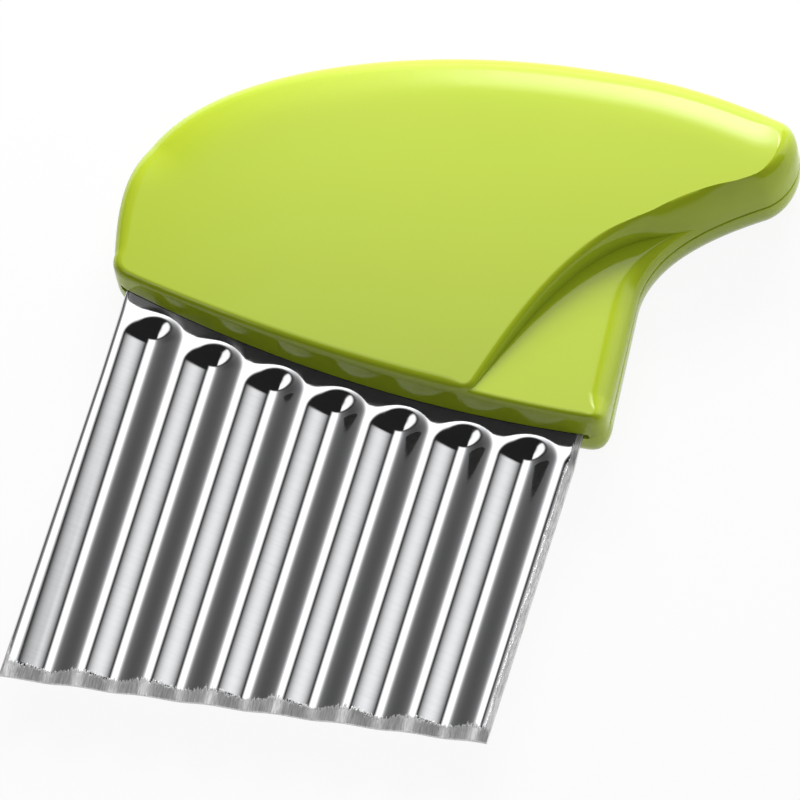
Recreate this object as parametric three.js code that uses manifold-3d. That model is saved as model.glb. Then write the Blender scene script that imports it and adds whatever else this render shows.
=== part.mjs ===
// Crinkle cutter: a corrugated steel blade clamped in a two-shell plastic handle.
// Millimetres. X runs along the cutting edge, Y from the cutting edge up to the handle,
// and Z out of the front face. The part lies on the flat back of its handle.
// While it is drawn, the middle of the cutting edge is the origin and z = 0 is the
// parting plane, where the two shells meet and the blade lies.
import * as THREE from 'three';
import { mergeVertices } from 'three/addons/utils/BufferGeometryUtils.js';
import Module from 'manifold-3d';

const wasm = await Module();
wasm.setup();

// Clearances
const FIT_GAP = 0.3;
const PARTING_GAP = 0.2;

// Blade
const BLADE_WIDTH = 73;
const EXPOSED_LEFT = 70.2; // steel below the handle at the blade's left side
const EXPOSED_RIGHT = 55.7; // steel below the handle at the blade's right side
const SHEET = 0.8;
const GROOVE_PITCH = 10;
const GROOVE_SHIFT = 0.7; // the middle groove lies this far left of the blade's middle
const GROOVE_DEPTH = 1.8;
const GROOVE_END_GAP = 0.1; // flat steel between the groove ends and the handle
const EDGE_DRAW = 1; // the pressing draws the edge in by this much at each groove
const EDGE_THICKNESS = 0.2;
const BEVEL_WIDTH = 2;
const SHOULDER_DEPTH = 3; // full-width steel inside the handle
const TANG_LENGTH = 14; // narrower steel inside the handle, from the handle's lower edge
const TANG_INSET = 3;

// Handle outline, seen from the front
const LEDGE_BOW = 3.4; // the lower edge bows towards the cutting edge
const LEFT_OVERHANG = 2.6; // handle beyond the blade's left side
const RIGHT_OVERHANG = 3.4; // handle beyond the blade's right side
const CORNER_ROUND = 3.6;
const NECK_HEIGHT = 24; // straight right side, from the lower corner to the finger hook
const NECK_LEAN = 1.4;
const HANDLE_RISE = 48.1; // crown above the lower edge at the blade's left side
const CROWN_X = 19.4;
const TIP_REACH = 15.2; // top of the tip's round beyond the blade's right side
const TIP_DROP = 4.8; // top of the tip below the crown
const TIP_THICKNESS = 13.6;
const TIP_LEAN = 0.8; // foot of the tip's round beyond its top
const SHOULDER_DROP = 24; // left shoulder below the crown
const SHOULDER_BULGE = 0.5; // left shoulder beyond the left foot

// Headings of the outline at its corner points, in degrees from +X
const HOOK_END_HEADING = 32;
const TIP_TOP_HEADING = 163;
const CROWN_HEADING = 180;
const SHOULDER_HEADING = 252;
const LEFT_FOOT_HEADING = 283;
const FIN_FOOT_HEADING = 78;
const FIN_TIP_HEADING = 30;

// Fullness of the curves between them, as a share of each chord
const HOOK_FULLNESS = 0.38;
const TIP_FULLNESS = 0.41;
const WEB_TIP_FULLNESS = 0.45;
const FIN_TIP_FULLNESS = 0.4;
const CROWN_RIGHT_FULLNESS = 0.41;
const CROWN_LEFT_FULLNESS = 0.22;
const SHOULDER_FULLNESS = 0.32;
const SIDE_FULLNESS = 0.35;

// Handle thickness, from the parting plane outwards
const FIN_DEPTH = 7; // raised fin on the front
const FACE_FALL_START = 10; // left of this place the fin's face falls away
const FACE_FALL_RADIUS = 420;
const FACE_BOW_RADIUS = 560; // the fin's face bows from its middle to the lower edge and the crown
const FACE_BOW_DROP = 28.3; // middle of that bow below the crown
const WEB_STEP = 1.5; // recessed web on the front below the fin, at the handle's lower edge
const WEB_TILT = 3.6; // degrees, the web falls away towards the tip
const WEB_FALL = 2.4; // degrees, the web falls away to the right
const EDGE_ROUND = 2.2; // front edges
const REAR_DEPTH = 5; // flat back
const BACK_ROUND = 2.3; // back edges, measured across the back
const BACK_ROUND_DEPTH = 4; // back edges, measured through the thickness
const CORNER_LEAST = 0.2; // radius left at the tightest corner, inside a rounded edge
const WALL = 2;
const FIN_FOOT_INSET = 20.1; // the fin's edge leaves the lower edge this far inside the right side
const FIN_TIP_INSET = 0.5; // the fin's edge inside the outline below the tip
const WEB_LAP = 1.5; // the web passes under the fin's tip by this much
const SLOT_CLEARANCE = 0.8; // slot in the lower edge beyond each face of the blade
const SLOT_SIDE = 0.9; // slot beyond each side of the blade

// Screws, driven from the back
const SCREW_INSET = 4.5; // lower screws inside the tang's sides
const SCREW_DROP = 5.5; // lower screws below the tang's upper edge
const CROWN_SCREW_ASIDE = 3; // third screw, to the right of the crown
const CROWN_SCREW_DROP = 12.5; // third screw below the crown
const SHANK_RADIUS = 1.4;
const SHANK_LENGTH = 6;
const SHANK_POINT = 1.6;
const HEAD_RADIUS = 2.7;
const HEAD_HEIGHT = 1.5;
const HEAD_ROUND = 0.8;
const SEAT_DEPTH = 1.9; // head seats this far behind the parting plane
const BOSS_WALL = 1.3;

// Fineness of the facets
const CURVE_STEPS = 10;
const ROUND_STEPS = 3;
const TURN_STEPS = 24;
const STEPS_PER_GROOVE = 12;
const GROOVE_END_ROWS = 6;
const FACE_STEP = 10; // longest edge on the fin's bowed face
const REACH = 400; // larger than the part, for cutting blocks
const MERGE_DISTANCE = 1e-4; // points closer than this are one point

// Materials
const greenPlastic = new THREE.MeshStandardMaterial({ color: 0xb9cf4e, roughness: 0.22, metalness: 0 });
const bladeSteel = new THREE.MeshStandardMaterial({ color: 0xc8cbce, roughness: 0.18, metalness: 1 });
const screwSteel = new THREE.MeshStandardMaterial({ color: 0x9da1a6, roughness: 0.35, metalness: 1 });

// Key points of the plan
const halfWidth = BLADE_WIDTH / 2;
const leftX = -halfWidth - LEFT_OVERHANG;
const rightX = halfWidth + RIGHT_OVERHANG;
const crownY = EXPOSED_LEFT + HANDLE_RISE;
const ledgeSlope = (EXPOSED_RIGHT - EXPOSED_LEFT) / BLADE_WIDTH;
const finFootX = rightX - FIN_FOOT_INSET;
const tangX = halfWidth - TANG_INSET;
const webFootDepth = FIN_DEPTH - WEB_STEP;

function ledgeY(x) {
  const chord = (EXPOSED_LEFT + EXPOSED_RIGHT) / 2 + ledgeSlope * x;
  return chord - LEDGE_BOW * (1 - (x / halfWidth) ** 2);
}

function ledgePoint(x, rise = 0) {
  return new THREE.Vector2(x, ledgeY(x) + rise);
}

// Control point of the parabola that the lower edge follows between two places
function ledgeControl(fromX, toX, rise = 0) {
  const slope = ledgeSlope + (2 * LEDGE_BOW * fromX) / halfWidth ** 2;
  return new THREE.Vector2((fromX + toX) / 2, ledgeY(fromX) + (slope * (toX - fromX)) / 2 + rise);
}

function followLedge(shape, fromX, toX, rise = 0) {
  const control = ledgeControl(fromX, toX, rise);
  const end = ledgePoint(toX, rise);
  shape.quadraticCurveTo(control.x, control.y, end.x, end.y);
}

function along(point, heading, distance) {
  const angle = THREE.MathUtils.degToRad(heading);
  return new THREE.Vector2(point.x + distance * Math.cos(angle), point.y + distance * Math.sin(angle));
}

// Smooth curve from one point and heading to another
function sweepTo(shape, from, fromHeading, to, toHeading, fullness, endFullness = fullness) {
  const chord = from.distanceTo(to);
  const first = along(from, fromHeading, chord * fullness);
  const second = along(to, toHeading, -chord * endFullness);
  shape.bezierCurveTo(first.x, first.y, second.x, second.y, to.x, to.y);
}

const neckFoot = new THREE.Vector2(rightX, ledgeY(rightX) + CORNER_ROUND);
const neckTop = new THREE.Vector2(rightX - NECK_LEAN, ledgeY(rightX) + NECK_HEIGHT);
const tipTop = new THREE.Vector2(halfWidth + TIP_REACH, crownY - TIP_DROP);
const tipUnder = new THREE.Vector2(tipTop.x + TIP_LEAN, tipTop.y - TIP_THICKNESS);
const crown = new THREE.Vector2(CROWN_X, crownY);
const shoulder = new THREE.Vector2(leftX - SHOULDER_BULGE, crownY - SHOULDER_DROP);
const leftFoot = new THREE.Vector2(leftX, ledgeY(leftX) + CORNER_ROUND);
const ledgeStart = leftX + CORNER_ROUND;
const ledgeEnd = rightX - CORNER_ROUND;

// Least radius of a lower corner, which limits the rounds of the edges that pass it
function cornerRadius(sideX, foot, ledgeX) {
  const corner = ledgePoint(sideX);
  const end = ledgePoint(ledgeX);
  const toMiddle = corner.distanceTo(foot.clone().lerp(end, 0.5));
  const area = Math.abs(foot.clone().sub(corner).cross(end.clone().sub(corner))) / 2;
  return area ** 2 / toMiddle ** 3;
}

const leftRadius = cornerRadius(leftX, leftFoot, ledgeStart);
const rightRadius = cornerRadius(rightX, neckFoot, ledgeEnd);
const tightest = Math.min(leftRadius, rightRadius);
const edgeRound = Math.min(EDGE_ROUND, tightest - CORNER_LEAST);
const backRound = Math.min(BACK_ROUND, tightest - CORNER_LEAST);

// Stretches that the outlines share
function startOnLedge(x) {
  const shape = new THREE.Shape();
  const start = ledgePoint(x);
  shape.moveTo(start.x, start.y);
  return shape;
}

function neckAndHook(shape, ledgeX) {
  followLedge(shape, ledgeX, ledgeEnd);
  shape.quadraticCurveTo(rightX, ledgeY(rightX), neckFoot.x, neckFoot.y);
  shape.lineTo(neckTop.x, neckTop.y);
  const neckHeading = THREE.MathUtils.radToDeg(Math.atan2(neckTop.y - neckFoot.y, neckTop.x - neckFoot.x));
  sweepTo(shape, neckTop, neckHeading, tipUnder, HOOK_END_HEADING, HOOK_FULLNESS);
}

function crownAndLeftSide(shape) {
  sweepTo(shape, tipTop, TIP_TOP_HEADING, crown, CROWN_HEADING, CROWN_RIGHT_FULLNESS);
  sweepTo(shape, crown, CROWN_HEADING, shoulder, SHOULDER_HEADING, CROWN_LEFT_FULLNESS, SHOULDER_FULLNESS);
  sweepTo(shape, shoulder, SHOULDER_HEADING, leftFoot, LEFT_FOOT_HEADING, SIDE_FULLNESS);
  const start = ledgePoint(ledgeStart);
  shape.quadraticCurveTo(leftX, ledgeY(leftX), start.x, start.y);
}

// Whole handle, as the back shows it
function handleOutline() {
  const shape = startOnLedge(ledgeStart);
  neckAndHook(shape, ledgeStart);
  sweepTo(shape, tipUnder, HOOK_END_HEADING, tipTop, TIP_TOP_HEADING, TIP_FULLNESS);
  crownAndLeftSide(shape);
  return shape;
}

// Raised fin of the front: its lower right edge runs from the ledge to below the tip
function finOutline() {
  const shape = startOnLedge(ledgeStart);
  followLedge(shape, ledgeStart, finFootX);
  const finTip = along(tipUnder, HOOK_END_HEADING + 90, FIN_TIP_INSET);
  sweepTo(shape, ledgePoint(finFootX), FIN_FOOT_HEADING, finTip, FIN_TIP_HEADING, SIDE_FULLNESS);
  sweepTo(shape, finTip, FIN_TIP_HEADING, tipTop, TIP_TOP_HEADING, FIN_TIP_FULLNESS);
  crownAndLeftSide(shape);
  return shape;
}

// Recessed web of the front: neck, hook and tip, and back under the fin
function webOutline() {
  const shape = startOnLedge(finFootX);
  neckAndHook(shape, finFootX);
  const tipBack = along(tipTop, TIP_TOP_HEADING + 90, WEB_LAP);
  sweepTo(shape, tipUnder, HOOK_END_HEADING, tipBack, TIP_TOP_HEADING, WEB_TIP_FULLNESS);
  shape.lineTo(tipBack.x - TIP_THICKNESS, tipBack.y);
  shape.lineTo(crown.x - TIP_THICKNESS, neckTop.y);
  shape.closePath();
  return shape;
}

// Solids: a closed geometry becomes a body that can be joined and cut
function solid(geometry) {
  const plain = geometry.clone();
  plain.deleteAttribute('normal');
  plain.deleteAttribute('uv');
  const merged = mergeVertices(plain, MERGE_DISTANCE);
  const mesh = new wasm.Mesh({
    numProp: 3,
    vertProperties: Float32Array.from(merged.attributes.position.array),
    triVerts: Uint32Array.from(merged.index.array),
  });
  return new wasm.Manifold(mesh);
}

function toMesh(name, body, material) {
  const result = body.getMesh();
  const geometry = new THREE.BufferGeometry();
  geometry.setAttribute('position', new THREE.BufferAttribute(result.vertProperties, 3));
  geometry.setIndex(new THREE.BufferAttribute(result.triVerts, 1));
  geometry.computeVertexNormals();
  const mesh = new THREE.Mesh(geometry, material);
  mesh.name = name;
  return mesh;
}

function block(width, depth, lowZ, highZ) {
  const geometry = new THREE.BoxGeometry(width, depth, highZ - lowZ);
  return geometry.translate(0, 0, (lowZ + highZ) / 2);
}

function cylinder(radius, place, lowZ, highZ) {
  const geometry = new THREE.CylinderGeometry(radius, radius, highZ - lowZ, TURN_STEPS);
  geometry.rotateX(Math.PI / 2);
  return solid(geometry.translate(place.x, place.y, (lowZ + highZ) / 2));
}

// Upright prism on an outline drawn in by an inset, with plain ends
function prism(shape, lowZ, highZ, inset = 0) {
  const geometry = new THREE.ExtrudeGeometry(shape, {
    depth: highZ - lowZ,
    curveSegments: CURVE_STEPS,
    bevelEnabled: true,
    bevelSegments: 0,
    bevelThickness: 0,
    bevelSize: 0,
    bevelOffset: -inset,
  });
  return geometry.translate(0, 0, lowZ);
}

// Prism with a rounded upper edge, and a like lower edge below the parting plane
function roundedPrism(shape, highZ, roundAcross, roundThrough) {
  const geometry = new THREE.ExtrudeGeometry(shape, {
    depth: highZ,
    curveSegments: CURVE_STEPS,
    bevelSegments: ROUND_STEPS,
    bevelThickness: roundThrough,
    bevelSize: roundAcross,
    bevelOffset: -roundAcross,
  });
  return geometry.translate(0, 0, -roundThrough);
}

function eachVertex(geometry, change) {
  const position = geometry.attributes.position;
  for (let i = 0; i < position.count; i += 1) {
    position.setZ(i, change(position.getX(i), position.getY(i), position.getZ(i)));
  }
  return geometry;
}

// Halves of the handle on the +Z side of the parting plane, as an outside and a hollow
const upperHalf = solid(block(REACH, REACH, PARTING_GAP / 2, REACH));

function finDepth(x, y) {
  const fall = Math.max(0, FACE_FALL_START - x);
  const bow = y - crownY + FACE_BOW_DROP;
  return FIN_DEPTH - fall ** 2 / (2 * FACE_FALL_RADIUS) - bow ** 2 / (2 * FACE_BOW_RADIUS);
}

function webDepth(x, y) {
  const upward = Math.tan(THREE.MathUtils.degToRad(WEB_TILT));
  const aside = Math.tan(THREE.MathUtils.degToRad(WEB_FALL));
  return webFootDepth - (y - EXPOSED_RIGHT) * upward - (x - finFootX) * aside;
}

// Body with its part in front of the parting plane changed in height
function reshaped(body, change) {
  return body.refineToLength(FACE_STEP).warp((point) => {
    const [x, y, z] = point;
    point[2] = z > 0 ? change(x, y, z) : z;
  });
}

function frontHalf() {
  const fin = finOutline();
  const web = webOutline();
  const slopeOutside = (x, y, z) => (z > 0 ? (z * webDepth(x, y)) / webFootDepth : z);
  const slopeInside = (x, y, z) => (z > 0 ? webDepth(x, y) - WALL : z);
  const finBlank = solid(roundedPrism(fin, FIN_DEPTH, edgeRound, edgeRound));
  const finOutside = reshaped(finBlank, (x, y, z) => (z * finDepth(x, y)) / FIN_DEPTH);
  const webBlank = roundedPrism(web, webFootDepth, edgeRound, edgeRound);
  const webOutside = solid(eachVertex(webBlank, slopeOutside));
  const finRoom = solid(prism(fin, -WALL, FIN_DEPTH - WALL, WALL));
  const finInside = reshaped(finRoom, (x, y) => finDepth(x, y) - WALL);
  const webInside = solid(eachVertex(prism(web, -REACH, FIN_DEPTH, WALL), slopeInside));
  return { outside: finOutside.add(webOutside).intersect(upperHalf), inside: finInside.add(webInside) };
}

function rearHalf() {
  const outline = handleOutline();
  const outside = solid(roundedPrism(outline, REAR_DEPTH, backRound, BACK_ROUND_DEPTH));
  const inside = solid(prism(outline, -REACH, REAR_DEPTH - WALL, WALL));
  return { outside: outside.intersect(upperHalf), inside };
}

// Flat band that follows the handle's lower edge, from one rise above it to another
function ledgeBand(reachX, lowRise, highRise, halfThickness) {
  const shape = new THREE.Shape();
  const start = ledgePoint(-reachX, lowRise);
  const back = ledgePoint(reachX, highRise);
  shape.moveTo(start.x, start.y);
  followLedge(shape, -reachX, reachX, lowRise);
  shape.lineTo(back.x, back.y);
  followLedge(shape, reachX, -reachX, highRise);
  shape.closePath();
  return solid(prism(shape, -halfThickness, halfThickness));
}

// Room for the blade: a wide slot at the lower edge, and a thin pocket for the tang
function bladeRoom() {
  const slotHalf = SHEET / 2 + SLOT_CLEARANCE;
  const slot = ledgeBand(halfWidth + SLOT_SIDE, -FIT_GAP, SHOULDER_DEPTH + FIT_GAP, slotHalf);
  const pocket = ledgeBand(tangX + FIT_GAP, 0, TANG_LENGTH + FIT_GAP, SHEET / 2 + FIT_GAP);
  return slot.add(pocket);
}

// Places of the screws, and whether the blade's tang lies between their bosses
const screwX = tangX - SCREW_INSET;
const screwRise = TANG_LENGTH - SCREW_DROP;
const crownScrewPlace = new THREE.Vector2(crown.x + CROWN_SCREW_ASIDE, crown.y - CROWN_SCREW_DROP);
const screws = [
  { name: 'screw_left', place: ledgePoint(-screwX, screwRise), throughTang: true },
  { name: 'screw_right', place: ledgePoint(screwX, screwRise), throughTang: true },
  { name: 'screw_crown', place: crownScrewPlace, throughTang: false },
];
const holeRadius = SHANK_RADIUS + FIT_GAP;
const headHoleRadius = HEAD_RADIUS + FIT_GAP;

function bossFloor(screw) {
  return screw.throughTang ? SHEET / 2 + FIT_GAP : PARTING_GAP / 2;
}

function mirrored(body) {
  const mesh = toMesh('', body, greenPlastic);
  const geometry = mesh.geometry.scale(1, 1, -1);
  const index = geometry.index.array;
  for (let i = 0; i < index.length; i += 3) {
    [index[i], index[i + 1]] = [index[i + 1], index[i]];
  }
  return solid(geometry);
}

function frontShell() {
  const { outside, inside } = frontHalf();
  let shell = outside.subtract(inside);
  for (const screw of screws) {
    const boss = cylinder(holeRadius + BOSS_WALL, screw.place, bossFloor(screw), REACH);
    shell = shell.add(boss.intersect(outside));
  }
  for (const screw of screws) {
    const pilotEnd = SHANK_LENGTH - SEAT_DEPTH + FIT_GAP;
    shell = shell.subtract(cylinder(holeRadius, screw.place, -REACH, pilotEnd));
  }
  return shell.subtract(bladeRoom());
}

function rearShell() {
  const { outside, inside } = rearHalf();
  let shell = outside.subtract(inside);
  for (const screw of screws) {
    const boss = cylinder(headHoleRadius + BOSS_WALL, screw.place, bossFloor(screw), REACH);
    shell = shell.add(boss.intersect(outside));
  }
  for (const screw of screws) {
    shell = shell.subtract(cylinder(holeRadius, screw.place, -REACH, REACH));
    shell = shell.subtract(cylinder(headHoleRadius, screw.place, SEAT_DEPTH, REACH));
  }
  return mirrored(shell.subtract(bladeRoom()));
}

// Blade: depth of the pressed grooves below the flat steel, with round upper ends
function grooveDrop(x, y) {
  const groove = Math.round((x + GROOVE_SHIFT) / GROOVE_PITCH) * GROOVE_PITCH - GROOVE_SHIFT;
  const endY = ledgeY(groove) - GROOVE_END_GAP - GROOVE_PITCH / 2;
  const distance = Math.hypot(x - groove, Math.max(0, y - endY));
  const share = Math.min(1, distance / (GROOVE_PITCH / 2));
  return (1 + Math.cos(Math.PI * share)) / 2;
}

// Places of the columns of points, from the blade's left side to its right side
function bladeColumns() {
  const steps = Math.ceil((STEPS_PER_GROOVE * BLADE_WIDTH) / GROOVE_PITCH);
  const xs = [];
  for (let i = 0; i <= steps; i += 1) {
    xs.push(-halfWidth + (BLADE_WIDTH * i) / steps);
  }
  return xs;
}

// Heights of one column of points, from the cutting edge to the shoulder
function bladeRows(x) {
  const edge = EDGE_DRAW * grooveDrop(x, 0);
  const endStart = ledgeY(x) - GROOVE_END_GAP - GROOVE_PITCH;
  const ys = [edge, edge + BEVEL_WIDTH];
  for (let i = 0; i <= GROOVE_END_ROWS; i += 1) {
    ys.push(endStart + (GROOVE_PITCH * i) / GROOVE_END_ROWS);
  }
  ys.push(ledgeY(x) + SHOULDER_DEPTH);
  return ys;
}

// Corrugated sheet with a ground bevel, as a front and a back skin joined round the rim
function corrugatedSheet() {
  const xs = bladeColumns();
  const columns = xs.map(bladeRows);
  const rows = columns[0].length;
  const positions = [];
  for (const side of [1, -1]) {
    xs.forEach((x, i) => {
      columns[i].forEach((y, j) => {
        const back = -GROOVE_DEPTH * grooveDrop(x, y) - SHEET / 2;
        const thickness = j === 0 ? EDGE_THICKNESS : SHEET;
        positions.push(x, y, side > 0 ? back + thickness : back);
      });
    });
  }
  const offset = xs.length * rows;
  const at = (side, i, j) => (side > 0 ? 0 : offset) + i * rows + j;
  const index = [];
  const quad = (a, b, c, d) => index.push(a, b, c, a, c, d);
  for (let i = 0; i + 1 < xs.length; i += 1) {
    for (let j = 0; j + 1 < rows; j += 1) {
      quad(at(1, i, j), at(1, i + 1, j), at(1, i + 1, j + 1), at(1, i, j + 1));
      quad(at(-1, i, j), at(-1, i, j + 1), at(-1, i + 1, j + 1), at(-1, i + 1, j));
    }
    const top = rows - 1;
    quad(at(1, i, 0), at(-1, i, 0), at(-1, i + 1, 0), at(1, i + 1, 0));
    quad(at(1, i, top), at(1, i + 1, top), at(-1, i + 1, top), at(-1, i, top));
  }
  const last = xs.length - 1;
  for (let j = 0; j + 1 < rows; j += 1) {
    quad(at(1, 0, j), at(1, 0, j + 1), at(-1, 0, j + 1), at(-1, 0, j));
    quad(at(1, last, j), at(-1, last, j), at(-1, last, j + 1), at(1, last, j + 1));
  }
  const geometry = new THREE.BufferGeometry();
  geometry.setAttribute('position', new THREE.Float32BufferAttribute(positions, 3));
  geometry.setIndex(index);
  return solid(geometry);
}

function blade() {
  const tang = ledgeBand(tangX, SHOULDER_DEPTH / 2, TANG_LENGTH, SHEET / 2);
  let steel = corrugatedSheet().add(tang);
  for (const screw of screws.filter((each) => each.throughTang)) {
    steel = steel.subtract(cylinder(holeRadius, screw.place, -REACH, REACH));
  }
  return steel;
}

// Self-tapping screw with a domed head behind and its point to the front
function screwBody(place) {
  const seat = -SEAT_DEPTH - FIT_GAP;
  const headTop = seat - HEAD_HEIGHT;
  const end = seat + SHANK_LENGTH;
  const profile = new THREE.Path();
  profile.moveTo(0, headTop);
  profile.lineTo(HEAD_RADIUS - HEAD_ROUND, headTop);
  profile.quadraticCurveTo(HEAD_RADIUS, headTop, HEAD_RADIUS, headTop + HEAD_ROUND);
  profile.lineTo(HEAD_RADIUS, seat);
  profile.lineTo(SHANK_RADIUS, seat);
  profile.lineTo(SHANK_RADIUS, end - SHANK_POINT);
  profile.lineTo(0, end);
  const geometry = new THREE.LatheGeometry(profile.getPoints(ROUND_STEPS), TURN_STEPS);
  geometry.rotateX(Math.PI / 2);
  return solid(geometry.translate(place.x, place.y, 0));
}

// The assembly, set on its back with its box centred on the origin
const cutter = new THREE.Group();
cutter.add(toMesh('front_shell', frontShell(), greenPlastic));
cutter.add(toMesh('rear_shell', rearShell(), greenPlastic));
cutter.add(toMesh('blade', blade(), bladeSteel));
for (const screw of screws) {
  cutter.add(toMesh(screw.name, screwBody(screw.place), screwSteel));
}
const box = new THREE.Box3().setFromObject(cutter);
cutter.position.set(-(box.min.x + box.max.x) / 2, -(box.min.y + box.max.y) / 2, -box.min.z);
cutter.updateMatrixWorld(true);

export default cutter;
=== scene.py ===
import math

import bpy
import numpy as np
from mathutils import Matrix, Vector
from mathutils.geometry import delaunay_2d_cdt


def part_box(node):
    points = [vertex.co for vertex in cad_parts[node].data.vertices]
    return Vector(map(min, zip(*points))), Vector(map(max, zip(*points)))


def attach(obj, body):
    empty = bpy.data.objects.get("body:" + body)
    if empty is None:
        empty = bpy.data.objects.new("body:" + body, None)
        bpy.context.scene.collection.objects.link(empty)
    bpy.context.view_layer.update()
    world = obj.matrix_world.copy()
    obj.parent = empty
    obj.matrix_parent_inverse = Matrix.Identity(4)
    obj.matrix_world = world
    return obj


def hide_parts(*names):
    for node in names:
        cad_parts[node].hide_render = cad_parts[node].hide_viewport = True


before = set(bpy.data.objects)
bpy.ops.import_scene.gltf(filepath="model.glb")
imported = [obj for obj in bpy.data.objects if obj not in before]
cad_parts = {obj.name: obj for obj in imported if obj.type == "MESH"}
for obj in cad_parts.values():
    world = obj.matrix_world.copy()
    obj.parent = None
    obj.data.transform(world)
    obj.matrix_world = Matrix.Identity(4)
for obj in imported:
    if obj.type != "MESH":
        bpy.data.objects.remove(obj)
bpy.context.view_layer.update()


# Front shell
# Injection-moulded gloss plastic in lime green: a raised fin with a softly domed face, and a
# lower web that runs from the neck up under the fin's tip. It is hollow, closes on the rear
# shell at the parting plane, and has bosses that take the three screws.
MM = 0.001
PARTING_GAP = 0.2
BLADE_WIDTH = 73.0
EXPOSED_LEFT = 70.2
EXPOSED_RIGHT = 55.7
LEDGE_BOW = 3.4
HALF_WIDTH = BLADE_WIDTH / 2
LEFT_OVERHANG = 2.6
RIGHT_OVERHANG = 3.4
LEFT_X = -HALF_WIDTH - LEFT_OVERHANG
RIGHT_X = HALF_WIDTH + RIGHT_OVERHANG
CORNER = 2.2
LEFT_CORNER = 3.2
WALL = 2.0
CROWN = np.array([19.4, 118.3])
TIP_TOP = np.array([51.7, 113.5])
TIP_UNDER = np.array([52.5, 99.9])
SHOULDER_BULGE = 0.5
SHOULDER = np.array([LEFT_X - SHOULDER_BULGE, 94.3])
HOOK_HEADING = 32
TIP_TOP_HEADING = 163
CROWN_HEADING = 180
SHOULDER_HEADING = 252
LEFT_FOOT_HEADING = 283
HOOK_FULLNESS = 0.38
CROWN_FULLNESS = 0.41
CROWN_LEFT_FULLNESS = 0.22
SHOULDER_FULLNESS = 0.32
LEFT_FULLNESS = 0.35
TIP_FULLNESS = 0.41
NECK_INSET = 1.4
NECK_RISE = 24.0
FIN_FOOT_X = 19.8
FIN_CORNER = 1.8
FIN_BEND = np.array([38.4, 90.3])
FIN_JOIN_X = 46.0
FIN_FOOT_HEADING = 73
FIN_BEND_HEADING = 24
FIN_FULLNESS = 0.3
FIN_TURN_FULLNESS = 0.33
FACE_EDGE_TIP = np.array([52.2, 100.4])
FACE_EDGE_HEADING = 75
FACE_EDGE_TIP_HEADING = 14
FACE_EDGE_TIP_FULLNESS = 0.34
FACE_EDGE_POINTS = 600
SIDE_BLEND_WIDTH = 1.6
SIDE_END_INSET = 1.1
SIDE_TURN_X = 28.0
SIDE_TURN_LENGTH = 12.0
SIDE_DROP_LEAST = 1.2
SIDE_DROP_MOST = 4.8
WEB_NARROW_X = 40.5
WEB_END_X = 46.2
WEB_LAP = 1.2
WEB_LAP_POINTS = 8
WEB_LAP_STEP = np.array([-4.0, 6.0])
WEB_LAP_X = 5.5
WEB_LAP_FOOT = 2.6
WEB_LAP_LEG = 2.6
STEP_SLANT = 0.35
FIN_DEPTH = 7.0
FIN_DOME_RADIUS = 560.0
FIN_DOME_MIDDLE = 90.0
FIN_FALL_RADIUS = 420.0
FIN_FALL_START = 10.0
CROWN_ROLL_WIDTH = 10.0
CROWN_ROLL_RADIUS = 34.0
WEB_FOOT_DEPTH = 5.5
WEB_TILT = math.tan(math.radians(3.6))
WEB_FALL = math.tan(math.radians(2.4))
RIM_CHAMFER = 0.12
SLOT_HALF = 0.52
SLOT_SIDE = 0.9
SHOULDER_DEPTH = 3.0
TANG_INSET = 3.0
TANG_LENGTH = 14.0
SHEET = 0.8
FIT_GAP = 0.3
HOLE_RADIUS = 1.7
HEAD_HOLE_RADIUS = 3.0
BOSS_WALL = 1.3
PILOT_END = 4.0
BOSS_LAP = 0.2
CUT_PAST = 1.0
SLOT_PAST = 0.5
SCREW_X = 29.0
SCREW_RISE = 8.5
CROWN_SCREW_OFFSET = np.array([3.0, -12.5])
HOLLOW_EDGE = 0.04
HOLLOW_CHAMFER = 0.05
HOLLOW_FOOT = -1.0
HOLLOW_LOWEST = -0.3
SHRINK_SLACK = 0.03
FACE_LAP = 0.08
PLASTIC_SHARP_ANGLE = 33
OUTLINE_STEP = 0.35
FACE_STEP = 1.6
ROUND_STEPS = 9
GREEN = (0.49, 0.635, 0.022, 1)
GREEN_PALE = (0.52, 0.655, 0.03, 1)
# Painted reflection: the plastic's colour for reflected rays, a dark neutral grey, so the steel mirrors the
# handle as dark shade instead of green
GREY_PAINTED_IN_REFLECTIONS = (0.2, 0.2, 0.19, 1)

blade_low, blade_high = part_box("blade")
drawing_origin = np.array([
    (blade_low.x + blade_high.x) / 2 / MM,
    blade_low.y / MM,
    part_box("front_shell")[0].z / MM - PARTING_GAP / 2,
])


def ledge_y(x):
    chord = (EXPOSED_LEFT + EXPOSED_RIGHT) / 2 + (EXPOSED_RIGHT - EXPOSED_LEFT) / BLADE_WIDTH * x
    return chord - LEDGE_BOW * (1 - (x / HALF_WIDTH) ** 2)


def ledge_point(x, rise=0.0):
    return np.array([x, ledge_y(x) + rise])


def heading_vector(degrees):
    return np.array([math.cos(math.radians(degrees)), math.sin(math.radians(degrees))])


def bezier(points, count=60):
    t = np.linspace(0, 1, count, endpoint=False)[:, None]
    if len(points) == 3:
        a, b, c = points
        return (1 - t) ** 2 * a + 2 * t * (1 - t) * b + t ** 2 * c
    a, b, c, d = points
    return (1 - t) ** 3 * a + 3 * t * (1 - t) ** 2 * b + 3 * t ** 2 * (1 - t) * c + t ** 3 * d


def sweep(start, start_heading, end, end_heading, fullness, end_fullness=None, count=60):
    chord = np.linalg.norm(end - start)
    first = start + heading_vector(start_heading) * chord * fullness
    second = end - heading_vector(end_heading) * chord * (end_fullness or fullness)
    return bezier([start, first, second, end], count)


def along_ledge(from_x, to_x, rise=0.0):
    x = np.linspace(from_x, to_x, 120, endpoint=False)
    return np.stack([x, ledge_y(x) + rise], axis=1)


def straight(start, end):
    t = np.linspace(0, 1, 40, endpoint=False)[:, None]
    return start + (end - start) * t


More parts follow.
